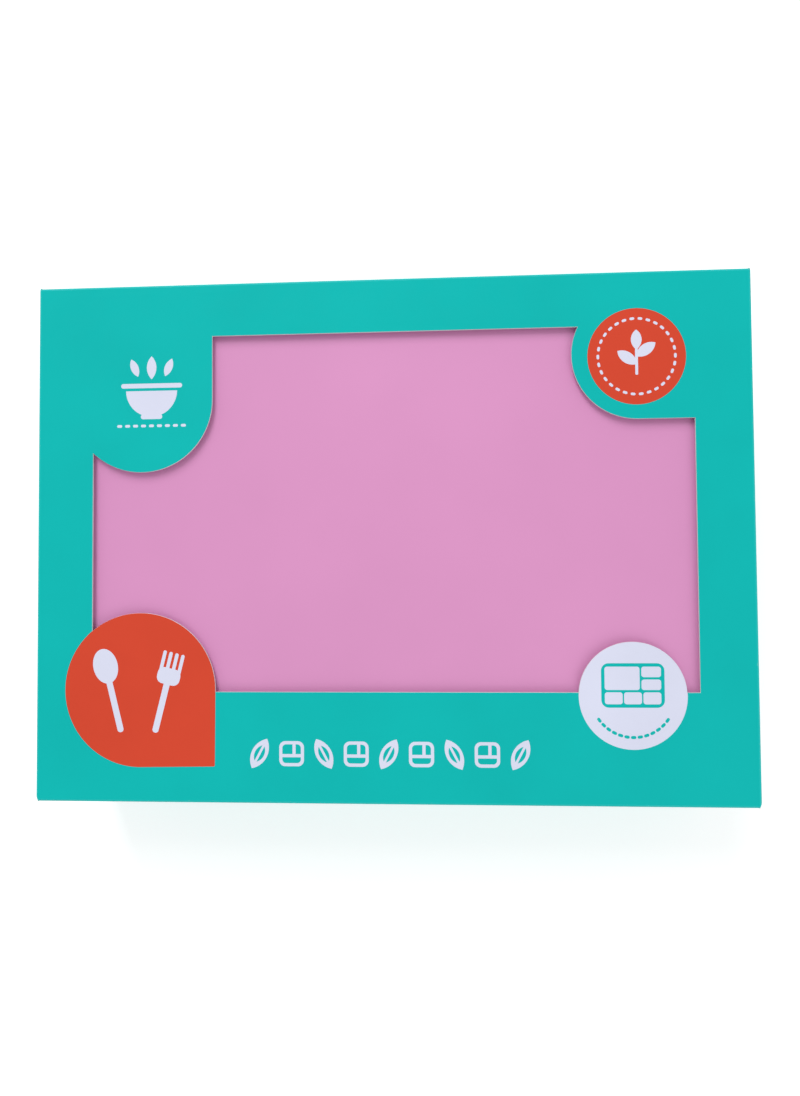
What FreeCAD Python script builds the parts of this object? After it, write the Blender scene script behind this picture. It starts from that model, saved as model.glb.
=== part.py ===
"""Bento lunch box in a two-piece paperboard carton with a window, lying flat with the window up.

Sizes in mm. The origin is the middle of the carton's underside, +X the carton's long side,
+Y the edge that is at the top in the photograph, +Z up through the window.
"""
import math
import os

import FreeCAD
import Part
import Sketcher

doc = FreeCAD.newDocument("BentoInCarton")
sheet = doc.addObject("Spreadsheet::Sheet", "Sizes")

SIZES = [
    # carton
    ("carton_width", 260.0), ("carton_depth", 190.0), ("carton_height", 57.6),
    ("board", 0.6), ("slip_gap", 1.0), ("cover_lift_off", 1.0),
    ("glue_tab_reach", 14.0), ("glue_tab_trim", 2.0),
    # window in the carton's front panel
    ("window_width", 218.6), ("window_depth", 130.4), ("window_shift_x", 0.3), ("window_shift_y", 10.2),
    ("corner_tab_x", -90.7), ("corner_tab_y", 51.9), ("corner_tab_radius", 26.5),
    ("round_tab_x", 89.8), ("round_tab_y", 65.2), ("round_tab_radius", 23.3),
    ("drop_x", -91.0), ("drop_y", -54.3), ("drop_radius", 28.0),
    ("disc_x", 86.3), ("disc_y", -56.1), ("disc_radius", 18.9),
    # lid of the lunch box
    ("lid_headroom", 2.0), ("latch_room", 12.8), ("lid_corner", 22.0), ("lid_plate", 2.2),
    ("lid_skirt", 9.8), ("skirt_wall", 2.0), ("lid_edge_round", 2.5),
    ("rib_width", 6.0), ("rib_height", 6.6), ("gasket_width", 2.8), ("gasket_height", 4.2),
    ("gasket_bite", 1.6), ("gasket_play", 0.2),
    # box and food tray
    ("box_inset", 7.0), ("box_wall", 2.0), ("box_floor", 2.0), ("box_foot_round", 6.0),
    ("box_inner_round", 4.0), ("foot_recess", 0.7), ("foot_width", 14.0),
    ("ledge_reach", 3.0), ("ledge_height", 3.0), ("ledge_drop", 1.5), ("ledge_edge_round", 0.8),
    ("tray_play", 0.6), ("tray_wall", 1.6), ("tray_divider", 2.4), ("tray_floor", 1.6),
    ("tray_foot_gap", 0.8), ("tray_rim", 1.6), ("tray_rim_setback", 0.4), ("tray_foot_round", 4.0),
    ("main_width", 124.0), ("front_row", 52.0), ("compartment_round", 5.0), ("mouth_round", 0.6),
    # latches
    ("latch_width_side", 56.0), ("latch_width_long", 70.0), ("pivot_inset", 2.6), ("pivot_drop", 3.2),
    ("latch_barrel", 2.4), ("latch_plate", 3.0), ("latch_reach", 14.2), ("latch_lip", 1.5),
    ("latch_lip_height", 2.0), ("hook_bite", 1.5), ("hook_height", 1.8), ("hook_gap", 0.3),
    ("pin_radius", 1.0), ("pin_running", 0.06), ("pin_seat", 0.02), ("ear_width", 4.0),
    ("ear_drop", 6.2), ("latch_side_gap", 0.5), ("latch_edge_round", 0.7),
]
for row, (alias, value) in enumerate(SIZES, start=1):
    sheet.set("A%d" % row, alias)
    sheet.set("B%d" % row, str(value))
    sheet.setAlias("B%d" % row, alias)
doc.recompute()


# lengths that several pieces share
COVER_IN_X = "(Sizes.carton_width / 2 - Sizes.board)"
COVER_IN_Y = "(Sizes.carton_depth / 2 - Sizes.board)"
BASE_OUT_X = "(%s - Sizes.slip_gap)" % COVER_IN_X
BASE_OUT_Y = "(%s - Sizes.slip_gap)" % COVER_IN_Y
BASE_IN_X = "(%s - Sizes.board)" % BASE_OUT_X
BASE_IN_Y = "(%s - Sizes.board)" % BASE_OUT_Y
PANEL_Z = "(Sizes.carton_height - Sizes.board)"
LID_X = "(%s - Sizes.latch_room)" % BASE_IN_X
LID_Y = "(%s - Sizes.latch_room)" % BASE_IN_Y
LID_TOP = "(%s - Sizes.lid_headroom)" % PANEL_Z
LID_UNDER = "(%s - Sizes.lid_plate)" % LID_TOP
SKIRT_Z = "(%s - Sizes.lid_skirt)" % LID_UNDER
RIB_Z = "(%s - Sizes.rib_height)" % LID_UNDER
GASKET_Z = "(%s + Sizes.gasket_bite - Sizes.gasket_height)" % RIB_Z
BOX_TOP = "(%s - Sizes.tray_rim)" % GASKET_Z
BOX_X = "(%s - Sizes.box_inset)" % LID_X
BOX_Y = "(%s - Sizes.box_inset)" % LID_Y
BOX_CORNER = "(Sizes.lid_corner - Sizes.box_inset)"
LEDGE_Z = "(%s - Sizes.ledge_drop - Sizes.ledge_height)" % BOX_TOP
TRAY_SETBACK = "(Sizes.box_wall + Sizes.tray_play)"
TRAY_X = "(%s - %s)" % (BOX_X, TRAY_SETBACK)
TRAY_Y = "(%s - %s)" % (BOX_Y, TRAY_SETBACK)
TRAY_CORNER = "(%s - %s)" % (BOX_CORNER, TRAY_SETBACK)
TRAY_FOOT = "(Sizes.board + Sizes.box_floor + Sizes.tray_foot_gap)"
TRAY_TOP = GASKET_Z
POCKET_CORNER = "(%s - Sizes.tray_wall)" % TRAY_CORNER
PIVOT_X = "(%s - Sizes.pivot_inset)" % LID_X
PIVOT_Y = "(%s - Sizes.pivot_inset)" % LID_Y
PIVOT_Z = "(%s - Sizes.pivot_drop)" % LID_UNDER
RIB_X = "(%s + Sizes.rib_width / 2 - Sizes.box_wall - Sizes.tray_rim_setback)" % BOX_X
RIB_Y = "(%s + Sizes.rib_width / 2 - Sizes.box_wall - Sizes.tray_rim_setback)" % BOX_Y
RIB_CORNER = "(%s + Sizes.rib_width / 2 - Sizes.box_wall - Sizes.tray_rim_setback)" % BOX_CORNER
SIDE_WIDTHS = {"right": "Sizes.latch_width_side", "rear": "Sizes.latch_width_long",
               "left": "Sizes.latch_width_side", "front": "Sizes.latch_width_long"}
nodes = []


def bind(obj, **formulas):
    for prop, formula in formulas.items():
        obj.setExpression(prop, formula)


def place(obj, x="0", y="0", z="0"):
    for axis, formula in zip("xyz", (x, y, z)):
        obj.setExpression("Placement.Base." + axis, formula)


def hand_in(obj, label):
    obj.Label = label
    nodes.append(obj)
    return obj


def box(name, low, lengths):
    """A box from its lowest corner and its three lengths, each a formula."""
    obj = doc.addObject("Part::Box", name)
    bind(obj, Length=lengths[0], Width=lengths[1], Height=lengths[2])
    place(obj, *low)
    return obj


def upright_disc(name, x, y, z, radius, height):
    obj = doc.addObject("Part::Cylinder", name)
    bind(obj, Radius=radius, Height=height)
    place(obj, x, y, z)
    return obj


def boolean(kind, name, base, tool):
    obj = doc.addObject(kind, name)
    obj.Base, obj.Tool = base, tool
    return obj


def compound(name, pieces):
    obj = doc.addObject("Part::Compound", name)
    obj.Links = pieces
    return obj


def new_body(name):
    body = doc.addObject("PartDesign::Body", name)
    doc.recompute()
    return body


def sketch_on(body, plane, name, offset=("0", "0", "0")):
    """A sketch on one of the body's own planes, moved by a formula along each of its axes."""
    sketch = body.newObject("Sketcher::SketchObject", name)
    support = [f for f in body.Origin.OriginFeatures if f.Role == plane][0]
    sketch.AttachmentSupport = [(support, "")]
    sketch.MapMode = "FlatFace"
    for axis, formula in zip("xyz", offset):
        sketch.setExpression("AttachmentOffset.Base." + axis, formula)
    return sketch


def value_of(formula):
    return float(sheet.evalExpression(formula.replace("Sizes.", "")))


def driven(sketch, constraint, formula):
    index = sketch.addConstraint(constraint)
    sketch.setExpression("Constraints[%d]" % index, formula)


def add_rectangle(sketch, half_x, half_y, corner=None):
    """A rectangle about the sketch's origin from its half lengths, with round corners or sharp ones."""
    hx, hy = value_of(half_x), value_of(half_y)
    radius = value_of(corner) if corner else 0.0
    vector = FreeCAD.Vector
    ends = [((hx, -hy + radius), (hx, hy - radius)), ((hx - radius, hy), (-hx + radius, hy)),
            ((-hx, hy - radius), (-hx, -hy + radius)), ((-hx + radius, -hy), (hx - radius, -hy))]
    lines = [sketch.addGeometry(Part.LineSegment(vector(*a, 0), vector(*b, 0))) for a, b in ends]
    right, top, left, bottom = lines
    for line, kind in zip(lines, ("Vertical", "Horizontal", "Vertical", "Horizontal")):
        sketch.addConstraint(Sketcher.Constraint(kind, line))
    if corner:
        quarter = math.pi / 2
        middles = [(hx - radius, hy - radius), (-hx + radius, hy - radius),
                   (-hx + radius, -hy + radius), (hx - radius, -hy + radius)]
        arcs = []
        for turn, (x, y) in enumerate(middles):
            circle = Part.Circle(vector(x, y, 0), vector(0, 0, 1), radius)
            arcs.append(sketch.addGeometry(Part.ArcOfCircle(circle, turn * quarter, (turn + 1) * quarter)))
        for i, arc in enumerate(arcs):
            sketch.addConstraint(Sketcher.Constraint("Tangent", lines[i], 2, arc, 1))
            sketch.addConstraint(Sketcher.Constraint("Tangent", arc, 2, lines[(i + 1) % 4], 1))
        for arc in arcs[1:]:
            sketch.addConstraint(Sketcher.Constraint("Equal", arcs[0], arc))
        sketch.addConstraint(Sketcher.Constraint("Symmetric", arcs[0], 3, arcs[2], 3, -1, 1))
        driven(sketch, Sketcher.Constraint("Radius", arcs[0], radius), corner)
    else:
        for i in range(4):
            sketch.addConstraint(Sketcher.Constraint("Coincident", lines[i], 2, lines[(i + 1) % 4], 1))
        sketch.addConstraint(Sketcher.Constraint("Symmetric", right, 1, top, 2, -1, 1))
    driven(sketch, Sketcher.Constraint("DistanceX", left, 1, right, 1, 2 * hx), "2 * " + half_x)
    driven(sketch, Sketcher.Constraint("DistanceY", bottom, 1, top, 2, 2 * hy), "2 * " + half_y)


def set_back(distance, *formulas):
    """Each formula less a distance, as for an outline that lies inside another."""
    return ["(%s - %s)" % (formula, distance) for formula in formulas]


def add_circle(sketch, x, y, radius):
    """A circle at a point whose coordinates are formulas that stay above zero."""
    at = FreeCAD.Vector(value_of(x), value_of(y), 0)
    circle = sketch.addGeometry(Part.Circle(at, FreeCAD.Vector(0, 0, 1), value_of(radius)))
    driven(sketch, Sketcher.Constraint("Radius", circle, value_of(radius)), radius)
    for kind, formula, at_zero in (("DistanceX", x, x == "0"), ("DistanceY", y, y == "0")):
        if at_zero:
            axis = -2 if kind == "DistanceX" else -1
            sketch.addConstraint(Sketcher.Constraint("PointOnObject", circle, 3, axis))
        else:
            driven(sketch, Sketcher.Constraint(kind, -1, 1, circle, 3, value_of(formula)), formula)


def pad(body, sketch, length, both_ways=False):
    feature = body.newObject("PartDesign::Pad", sketch.Name + "_pad")
    feature.Profile = sketch
    feature.Midplane = both_ways
    bind(feature, Length=length)
    doc.recompute()
    return feature


def pocket(body, sketch, length, upward=False, both_ways=False):
    feature = body.newObject("PartDesign::Pocket", sketch.Name + "_pocket")
    feature.Profile = sketch
    feature.Reversed = upward
    feature.Midplane = both_ways
    bind(feature, Length=length)
    doc.recompute()
    return feature


def fillet(body, name, radius, wanted):
    """Round the edges of the body's newest shape for which wanted(edge) is true."""
    base = body.Tip
    edges = ["Edge%d" % i for i, edge in enumerate(base.Shape.Edges, start=1) if wanted(edge)]
    feature = body.newObject("PartDesign::Fillet", name)
    feature.Base = (base, edges)
    bind(feature, Radius=radius)
    doc.recompute()
    return feature


def past(place, mark):
    """How far one place is beyond another, to a thousandth of a millimetre."""
    return round(place - mark, 3)


def reaches_past(edge, half_x, half_y):
    """Whether an edge goes further out than a rectangle about the origin."""
    span = edge.BoundBox
    return past(max(-span.XMin, span.XMax), half_x) > 0 or past(max(-span.YMin, span.YMax), half_y) > 0


def lies_at(z_formula):
    level = value_of(z_formula)
    return lambda edge: past(edge.BoundBox.ZMin, level) == 0 and past(edge.BoundBox.ZMax, level) == 0


# the carton's front panel: a sheet with a window that leaves room for four printed areas
panel = box("panel_sheet", ("-Sizes.carton_width / 2", "-Sizes.carton_depth / 2", PANEL_Z),
            ("Sizes.carton_width", "Sizes.carton_depth", "Sizes.board"))
opening = box("window_area",
              ("Sizes.window_shift_x - Sizes.window_width / 2",
               "Sizes.window_shift_y - Sizes.window_depth / 2", PANEL_Z + " - Sizes.board"),
              ("Sizes.window_width", "Sizes.window_depth", "3 * Sizes.board"))
TAB_Z = PANEL_Z + " - 2 * Sizes.board"
TAB_HEIGHT = "5 * Sizes.board"
WINDOW_TOP = "Sizes.window_shift_y + Sizes.window_depth / 2"
WINDOW_RIGHT = "Sizes.window_shift_x + Sizes.window_width / 2"
tabs = doc.addObject("Part::MultiFuse", "window_tabs")
tabs.Shapes = [
    upright_disc("corner_tab_disc", "Sizes.corner_tab_x", "Sizes.corner_tab_y", TAB_Z,
                 "Sizes.corner_tab_radius", TAB_HEIGHT),
    box("corner_tab_square", ("Sizes.corner_tab_x - Sizes.corner_tab_radius", "Sizes.corner_tab_y", TAB_Z),
        ("2 * Sizes.corner_tab_radius", WINDOW_TOP + " + Sizes.board - Sizes.corner_tab_y", TAB_HEIGHT)),
    upright_disc("round_tab_disc", "Sizes.round_tab_x", "Sizes.round_tab_y", TAB_Z,
                 "Sizes.round_tab_radius", TAB_HEIGHT),
    box("round_tab_square", ("Sizes.round_tab_x", "Sizes.round_tab_y - Sizes.round_tab_radius", TAB_Z),
        (WINDOW_RIGHT + " + Sizes.board - Sizes.round_tab_x", "2 * Sizes.round_tab_radius", TAB_HEIGHT)),
    upright_disc("drop_disc", "Sizes.drop_x", "Sizes.drop_y", TAB_Z, "Sizes.drop_radius", TAB_HEIGHT),
    upright_disc("badge_disc", "Sizes.disc_x", "Sizes.disc_y", TAB_Z, "Sizes.disc_radius", TAB_HEIGHT),
]
window = boolean("Part::Cut", "window_shape", opening, tabs)
hand_in(boolean("Part::Cut", "front_panel_cut", panel, window), "cover_front_panel")


def walls_and_tabs(prefix, out_x, out_y, low, high):
    """Four upright board walls and the four glue tabs folded inside them at the corners."""
    height = "(%s - %s)" % (high, low)
    side = ("Sizes.board", "2 * " + out_y, height)
    end = ("2 * (%s - Sizes.board)" % out_x, "Sizes.board", height)
    inner_x = "(%s - Sizes.board)" % out_x
    inner_y = "(%s - Sizes.board)" % out_y
    for name, low_x, low_y, lengths in (("right", inner_x, "-" + out_y, side),
                                        ("left", "-" + out_x, "-" + out_y, side),
                                        ("rear", "-" + inner_x, inner_y, end),
                                        ("front", "-" + inner_x, "-" + out_y, end)):
        wall = box("%s_%s_wall" % (prefix, name), (low_x, low_y, low), lengths)
        hand_in(wall, "%s_wall_%s" % (prefix, name))
    tab = ("Sizes.board", "Sizes.glue_tab_reach", height + " - 2 * Sizes.glue_tab_trim")
    tab_low = low + " + Sizes.glue_tab_trim"
    pieces = []
    for x_name, x in (("right", inner_x + " - Sizes.board"), ("left", "-" + inner_x)):
        for y_name, y in (("rear", inner_y + " - Sizes.glue_tab_reach"), ("front", "-" + inner_y)):
            pieces.append(box("%s_tab_%s_%s" % (prefix, x_name, y_name), (x, y, tab_low), tab))
    hand_in(compound(prefix + "_tabs", pieces), prefix + "_glue_tabs")


walls_and_tabs("cover", "(Sizes.carton_width / 2)", "(Sizes.carton_depth / 2)",
               "Sizes.cover_lift_off", PANEL_Z)
hand_in(box("bottom_sheet", ("-" + BASE_OUT_X, "-" + BASE_OUT_Y, "0"),
            ("2 * " + BASE_OUT_X, "2 * " + BASE_OUT_Y, "Sizes.board")), "carton_bottom_panel")
walls_and_tabs("carton_base", BASE_OUT_X, BASE_OUT_Y, "Sizes.board", PANEL_Z)

# the lunch box's outer shell, with a ledge all round for the latches
shell = new_body("box_shell")
outline = sketch_on(shell, "XY_Plane", "box_outline", ("0", "0", "Sizes.board"))
add_rectangle(outline, BOX_X, BOX_Y, BOX_CORNER)
pad(shell, outline, "%s - Sizes.board" % BOX_TOP)
fillet(shell, "box_foot_rounding", "Sizes.box_foot_round", lies_at("Sizes.board"))
hollow = sketch_on(shell, "XY_Plane", "box_hollow", ("0", "0", BOX_TOP))
add_rectangle(hollow, *set_back("Sizes.box_wall", BOX_X, BOX_Y, BOX_CORNER))
pocket(shell, hollow, "%s - Sizes.board - Sizes.box_floor" % BOX_TOP)
fillet(shell, "box_inner_rounding", "Sizes.box_inner_round", lies_at("Sizes.board + Sizes.box_floor"))
ledge = sketch_on(shell, "XY_Plane", "box_ledge", ("0", "0", LEDGE_Z))
add_rectangle(ledge, "(%s + Sizes.ledge_reach)" % BOX_X, "(%s + Sizes.ledge_reach)" % BOX_Y,
              "(%s + Sizes.ledge_reach)" % BOX_CORNER)
add_rectangle(ledge, *set_back("Sizes.box_wall / 2", BOX_X, BOX_Y, BOX_CORNER))
pad(shell, ledge, "Sizes.ledge_height")
past_wall = value_of(BOX_X), value_of(BOX_Y)
for level in (LEDGE_Z, "(%s + Sizes.ledge_height)" % LEDGE_Z):
    at_level = lies_at(level)
    fillet(shell, "ledge_edge_rounding", "Sizes.ledge_edge_round",
           lambda edge: at_level(edge) and reaches_past(edge, *past_wall))
recess = sketch_on(shell, "XY_Plane", "box_foot_recess", ("0", "0", "Sizes.board"))
add_rectangle(recess, "(%s - Sizes.foot_width)" % BOX_X, "(%s - Sizes.foot_width)" % BOX_Y, BOX_CORNER)
pocket(shell, recess, "Sizes.foot_recess", upward=True)
hand_in(shell, "box_base")

# the food tray: one moulding with six compartments, hung in the box by its rim
tray = new_body("tray_body")
block = sketch_on(tray, "XY_Plane", "tray_block", ("0", "0", TRAY_FOOT))
add_rectangle(block, TRAY_X, TRAY_Y, TRAY_CORNER)
pad(tray, block, "%s - %s" % (BOX_TOP, TRAY_FOOT))
fillet(tray, "tray_foot_rounding", "Sizes.tray_foot_round", lies_at(TRAY_FOOT))
rim = sketch_on(tray, "XY_Plane", "tray_rim_plate", ("0", "0", BOX_TOP))
add_rectangle(rim, *set_back("Sizes.tray_rim_setback", BOX_X, BOX_Y, BOX_CORNER))
pad(tray, rim, "Sizes.tray_rim")
INNER_X = "(%s - Sizes.tray_wall)" % TRAY_X
INNER_Y = "(%s - Sizes.tray_wall)" % TRAY_Y
THIRD = "((2 * %s - 2 * Sizes.tray_divider) / 3)" % INNER_X
REAR_ROW = "(2 * %s - Sizes.tray_divider - Sizes.front_row)" % INNER_Y
SMALL_WIDTH = "(2 * %s - Sizes.tray_divider - Sizes.main_width)" % INNER_X
SMALL_DEPTH = "((%s - Sizes.tray_divider) / 2)" % REAR_ROW
FRONT_Y = "(-%s + Sizes.front_row / 2)" % INNER_Y
SMALL_X = "(%s - %s / 2)" % (INNER_X, SMALL_WIDTH)
compartments = [
    ("main", "(-%s + Sizes.main_width / 2)" % INNER_X, "(%s - %s / 2)" % (INNER_Y, REAR_ROW),
     "Sizes.main_width", REAR_ROW),
    ("small_rear", SMALL_X, "(%s - %s / 2)" % (INNER_Y, SMALL_DEPTH), SMALL_WIDTH, SMALL_DEPTH),
    ("small_middle", SMALL_X, "(%s - %s * 3 / 2 - Sizes.tray_divider)" % (INNER_Y, SMALL_DEPTH),
     SMALL_WIDTH, SMALL_DEPTH),
    ("front_left", "(-%s + %s / 2)" % (INNER_X, THIRD), FRONT_Y, THIRD, "Sizes.front_row"),
    ("front_middle", "0", FRONT_Y, THIRD, "Sizes.front_row"),
    ("front_right", "(%s - %s / 2)" % (INNER_X, THIRD), FRONT_Y, THIRD, "Sizes.front_row"),
]
TRAY_FLOOR = "(%s + Sizes.tray_floor)" % TRAY_FOOT
for name, x, y, width, depth in compartments:
    mouth = sketch_on(tray, "XY_Plane", "compartment_" + name, (x, y, TRAY_TOP))
    add_rectangle(mouth, "(%s / 2)" % width, "(%s / 2)" % depth, POCKET_CORNER)
    pocket(tray, mouth, "%s - %s" % (TRAY_TOP, TRAY_FLOOR))
fillet(tray, "compartment_rounding", "Sizes.compartment_round", lies_at(TRAY_FLOOR))
at_mouths = lies_at(TRAY_TOP)
mouth_limit = value_of(INNER_X), value_of(INNER_Y)
fillet(tray, "mouth_rounding", "Sizes.mouth_round",
       lambda edge: at_mouths(edge) and not reaches_past(edge, *mouth_limit))
hand_in(tray, "food_tray")

# the lid: plate, skirt, gasket rib, and ears for the latch pins
lid = new_body("lid_body")
outline = sketch_on(lid, "XY_Plane", "lid_outline", ("0", "0", SKIRT_Z))
add_rectangle(outline, LID_X, LID_Y, "Sizes.lid_corner")
pad(lid, outline, "%s - %s" % (LID_TOP, SKIRT_Z))
fillet(lid, "lid_edge_rounding", "Sizes.lid_edge_round", lies_at(LID_TOP))
hollow = sketch_on(lid, "XY_Plane", "lid_hollow", ("0", "0", SKIRT_Z))
add_rectangle(hollow, *set_back("Sizes.skirt_wall", LID_X, LID_Y, "Sizes.lid_corner"))
pocket(lid, hollow, "Sizes.lid_skirt", upward=True)
rib = sketch_on(lid, "XY_Plane", "lid_rib", ("0", "0", RIB_Z))
add_rectangle(rib, RIB_X, RIB_Y, RIB_CORNER)
add_rectangle(rib, *set_back("Sizes.rib_width", RIB_X, RIB_Y, RIB_CORNER))
pad(lid, rib, "Sizes.rib_height")
SEAT_OUT = "((Sizes.rib_width - Sizes.gasket_width) / 2 - Sizes.gasket_play)"
SEAT_IN = "((Sizes.rib_width + Sizes.gasket_width) / 2 + Sizes.gasket_play)"
groove = sketch_on(lid, "XY_Plane", "gasket_groove", ("0", "0", RIB_Z))
for distance in (SEAT_OUT, SEAT_IN):
    add_rectangle(groove, *set_back(distance, RIB_X, RIB_Y, RIB_CORNER))
pocket(lid, groove, "Sizes.gasket_bite + Sizes.gasket_play", upward=True)
EAR_INSET = "(Sizes.pivot_inset + Sizes.latch_barrel + Sizes.latch_side_gap)"
for side, along in SIDE_WIDTHS.items():
    ends = side in ("rear", "front")
    across = "(%s - %s / 2)" % (LID_Y if ends else LID_X, EAR_INSET)
    across = across if side in ("right", "rear") else "(-%s)" % across
    clear = "(%s / 2 + Sizes.latch_side_gap)" % along
    middle = ("0", across, SKIRT_Z) if ends else (across, "0", SKIRT_Z)
    gate = sketch_on(lid, "XY_Plane", "latch_gate_" + side, middle)
    half_across = "(%s / 2)" % EAR_INSET
    halves = (clear, half_across) if ends else (half_across, clear)
    add_rectangle(gate, *halves)
    pocket(lid, gate, "Sizes.lid_skirt", upward=True)
    for place_name, way in (("low", "-"), ("high", "")):
        shift = "(%s(%s + Sizes.ear_width / 2))" % (way, clear)
        at = ((shift, across) if ends else (across, shift)) + ("%s - Sizes.ear_drop" % LID_UNDER,)
        ear = sketch_on(lid, "XY_Plane", "ear_%s_%s" % (side, place_name), at)
        halves = ("(Sizes.ear_width / 2)", half_across) if ends else (half_across, "(Sizes.ear_width / 2)")
        add_rectangle(ear, *halves)
        pad(lid, ear, "Sizes.ear_drop")
for plane, pivot, along, side in (("XZ_Plane", PIVOT_X, "Sizes.latch_width_side", "sides"),
                                  ("YZ_Plane", PIVOT_Y, "Sizes.latch_width_long", "ends")):
    for way in ("high", "low"):
        shift = "2 * %s" % pivot if way == "low" else "0"
        holes = sketch_on(lid, plane, "pin_holes_%s_%s" % (side, way), ("-(%s)" % shift, "0", "0"))
        add_circle(holes, pivot, PIVOT_Z, "Sizes.pin_radius + Sizes.pin_seat")
        pocket(lid, holes, "%s + 2 * Sizes.latch_side_gap + 2 * Sizes.ear_width" % along, both_ways=True)
hand_in(lid, "lid")

gasket = new_body("gasket_body")
ring = sketch_on(gasket, "XY_Plane", "gasket_ring", ("0", "0", GASKET_Z))
for way in ("-", "+"):
    distance = "((Sizes.rib_width %s Sizes.gasket_width) / 2)" % way
    add_rectangle(ring, *set_back(distance, RIB_X, RIB_Y, RIB_CORNER))
pad(gasket, ring, "Sizes.gasket_height")
hand_in(gasket, "lid_gasket")

# four latches that hang from pins at the lid's edge and hook under the box's ledge
HOOK_TOP = "(%s - %s + Sizes.hook_gap)" % (PIVOT_Z, LEDGE_Z)
LEAF_MIDDLE = "(Sizes.pivot_inset - Sizes.latch_plate / 2)"
HOOK_IN = "(Sizes.pivot_inset + Sizes.ledge_reach - Sizes.box_inset - Sizes.hook_bite)"
for quarter, (side, along) in enumerate(SIDE_WIDTHS.items()):
    latch = new_body("latch_body_" + side)
    latch.Placement.Rotation = FreeCAD.Rotation(FreeCAD.Vector(0, 0, 1), 90 * quarter)
    ends = side in ("rear", "front")
    pivot = PIVOT_Y if ends else PIVOT_X
    pivot = pivot if side in ("right", "rear") else "-" + pivot
    place(latch, *(("0", pivot, PIVOT_Z) if ends else (pivot, "0", PIVOT_Z)))
    half = "(%s / 2)" % along

    def slab(name, low_x, high_x, low_z, high_z):
        """Part of the latch between two distances out from the pin and two heights about the pin."""
        middle = "((%s + %s) / 2)" % (low_x, high_x)
        sketch = sketch_on(latch, "XY_Plane", "latch_%s_%s" % (name, side), (middle, "0", low_z))
        add_rectangle(sketch, "((%s - %s) / 2)" % (high_x, low_x), half)
        return pad(latch, sketch, "%s - %s" % (high_z, low_z))

    slab("leaf", "(Sizes.pivot_inset - Sizes.latch_plate)", "Sizes.pivot_inset",
         "(-Sizes.latch_reach)", "0")
    slab("lip", LEAF_MIDDLE, "(Sizes.pivot_inset + Sizes.latch_lip)", "(-Sizes.latch_reach)",
         "(-Sizes.latch_reach + Sizes.latch_lip_height)")
    slab("hook", HOOK_IN, LEAF_MIDDLE, "(-%s - Sizes.hook_height)" % HOOK_TOP, "(-%s)" % HOOK_TOP)
    barrel = sketch_on(latch, "XZ_Plane", "latch_barrel_" + side)
    add_circle(barrel, "0", "0", "Sizes.latch_barrel")
    pad(latch, barrel, along, both_ways=True)
    bore = sketch_on(latch, "XZ_Plane", "latch_bore_" + side)
    add_circle(bore, "0", "0", "Sizes.pin_radius + Sizes.pin_running")
    pocket(latch, bore, "2 * " + along, both_ways=True)
    lip_face = value_of("Sizes.pivot_inset + Sizes.latch_lip")
    fillet(latch, "latch_lip_rounding", "Sizes.latch_edge_round",
           lambda edge: past(edge.BoundBox.XMin, lip_face) == 0)
    hand_in(latch, "latch_" + side)

    pin = doc.addObject("Part::Cylinder", "pin_" + side)
    bind(pin, Radius="Sizes.pin_radius",
         Height="%s + 2 * Sizes.latch_side_gap + 2 * Sizes.ear_width" % along)
    lying = FreeCAD.Vector(0, 1, 0) if ends else FreeCAD.Vector(-1, 0, 0)
    pin.Placement.Rotation = FreeCAD.Rotation(lying, 90)
    start = "-(%s / 2 + Sizes.latch_side_gap + Sizes.ear_width)" % along
    place(pin, *((start, pivot, PIVOT_Z) if ends else (pivot, start, PIVOT_Z)))
    hand_in(pin, "latch_pin_" + side)

doc.recompute()
for obj in doc.Objects:
    if "Invalid" in obj.State or "Error" in obj.State:
        raise RuntimeError("%s did not rebuild" % obj.Label)
os.makedirs("parts", exist_ok=True)
for node in nodes:
    if node.Shape.isNull() or not node.Shape.isValid():
        raise RuntimeError("%s has no valid solid" % node.Label)
    node.Shape.exportStep("parts/%s.step" % node.Label)
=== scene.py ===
"""Looks of a bento lunch box in a window carton: folded board, print, moulded plastic, light and camera."""
import math

import bmesh
import bpy
from mathutils import Matrix, Vector
from mathutils.geometry import delaunay_2d_cdt


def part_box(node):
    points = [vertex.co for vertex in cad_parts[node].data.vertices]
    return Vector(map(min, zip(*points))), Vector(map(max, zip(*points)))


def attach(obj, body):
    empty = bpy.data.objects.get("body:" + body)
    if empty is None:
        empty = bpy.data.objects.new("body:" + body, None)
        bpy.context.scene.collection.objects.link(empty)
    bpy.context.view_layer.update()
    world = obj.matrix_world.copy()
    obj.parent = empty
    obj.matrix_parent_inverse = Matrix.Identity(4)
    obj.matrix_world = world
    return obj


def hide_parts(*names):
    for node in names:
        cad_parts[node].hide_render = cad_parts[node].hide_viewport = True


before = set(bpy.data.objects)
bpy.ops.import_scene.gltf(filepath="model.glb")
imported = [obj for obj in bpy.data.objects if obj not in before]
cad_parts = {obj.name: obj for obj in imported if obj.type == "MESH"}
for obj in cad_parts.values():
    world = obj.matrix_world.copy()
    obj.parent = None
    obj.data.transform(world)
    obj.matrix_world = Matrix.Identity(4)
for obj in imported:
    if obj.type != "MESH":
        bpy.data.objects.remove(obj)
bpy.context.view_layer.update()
scene = bpy.context.scene
MM = 0.001

# the carton, in millimetres, as in the solids
CARTON_X, CARTON_Y, CARTON_Z = 260.0, 190.0, 57.6
BOARD = 0.6
SLIP_GAP = 1.0
# between the base's rim and the panel that lies on it, and between a glue tab and its wall
RIM_GAP = 0.1
GLUE = 0.02
# the folds: at the panels' edges, and upright at the front and rear corners
BEND, BEND_STEPS = 0.9, 5
FRONT_CORNER, REAR_CORNER, CORNER_STEPS = 2.0, 0.9, 6
TAB_LENGTH, TAB_TAPER = 14.0, 4.0

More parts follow.
